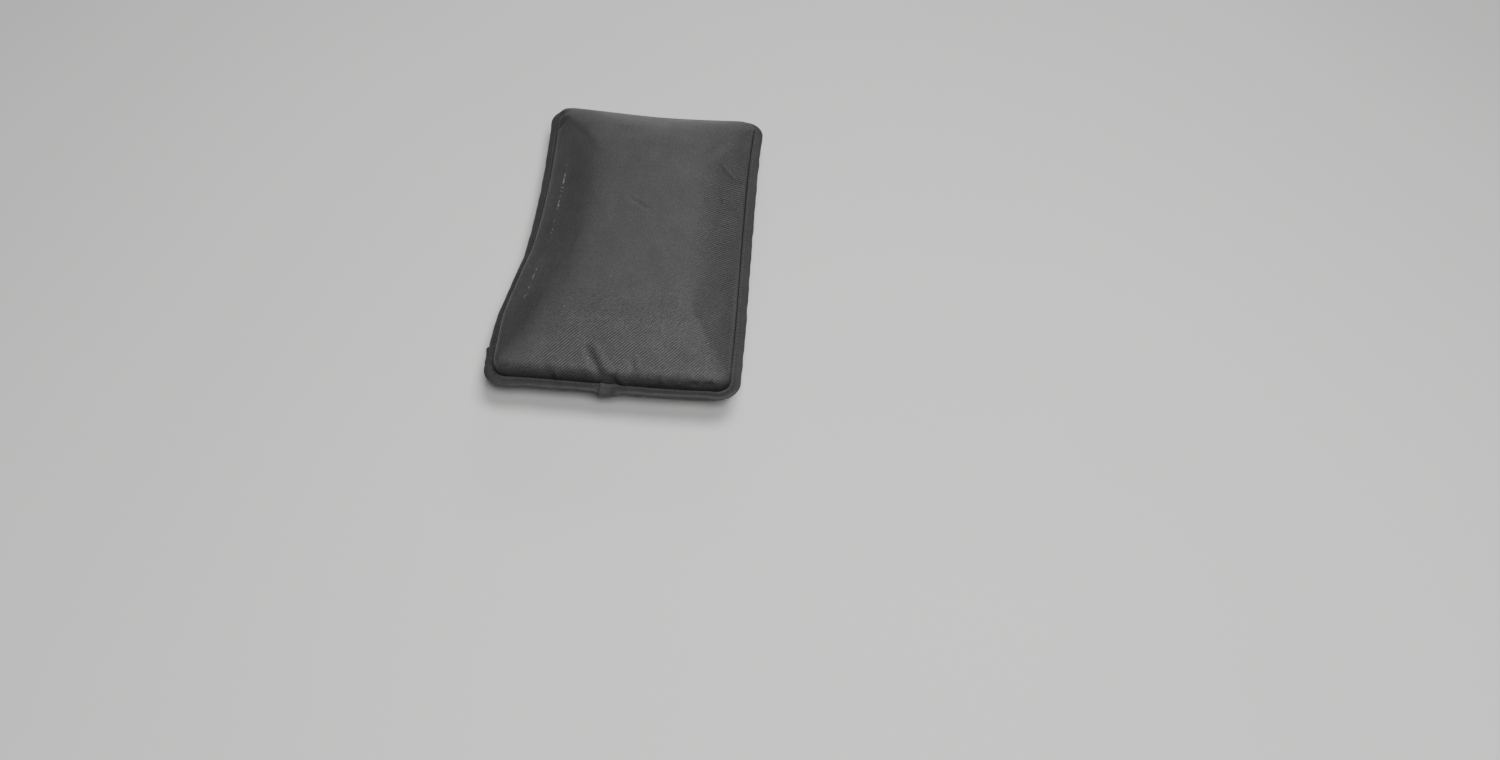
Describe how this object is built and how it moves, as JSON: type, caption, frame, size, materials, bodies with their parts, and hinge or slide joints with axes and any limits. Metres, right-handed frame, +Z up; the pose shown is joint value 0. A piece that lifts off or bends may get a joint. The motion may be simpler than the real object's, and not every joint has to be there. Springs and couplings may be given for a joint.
{
  "type": "camp pillow",
  "caption": "Small rectangular padded camp pillow with a taped edge, a foam core faced with wadding and a flat underside to rest on.",
  "frame": {"origin": "middle of the pillow's footprint, at the bottom of its underside", "axes": "+Z up through the crowned face, +Y along the long side away from the spliced end, +X along the short side"},
  "size_m": [0.2328, 0.3867, 0.066],
  "materials": {
    "cover_cloth": "black coated polyester twill with a soft sheen",
    "edge_tape": "matt black woven binding tape",
    "thread": "black polyester sewing thread",
    "foam": "open-cell foam",
    "wadding": "white polyester wadding"
  },
  "bodies": {
    "root": {"top_panel": "cover_cloth", "bottom_panel": "cover_cloth", "foam_core": "foam", "upper_wadding": "wadding", "lower_wadding": "wadding", "joining_seam": "thread", "binding_long": "edge_tape", "binding_short": "edge_tape", "binding_seam_upper": "thread", "binding_seam_lower": "thread"}
  },
  "joints": []
}
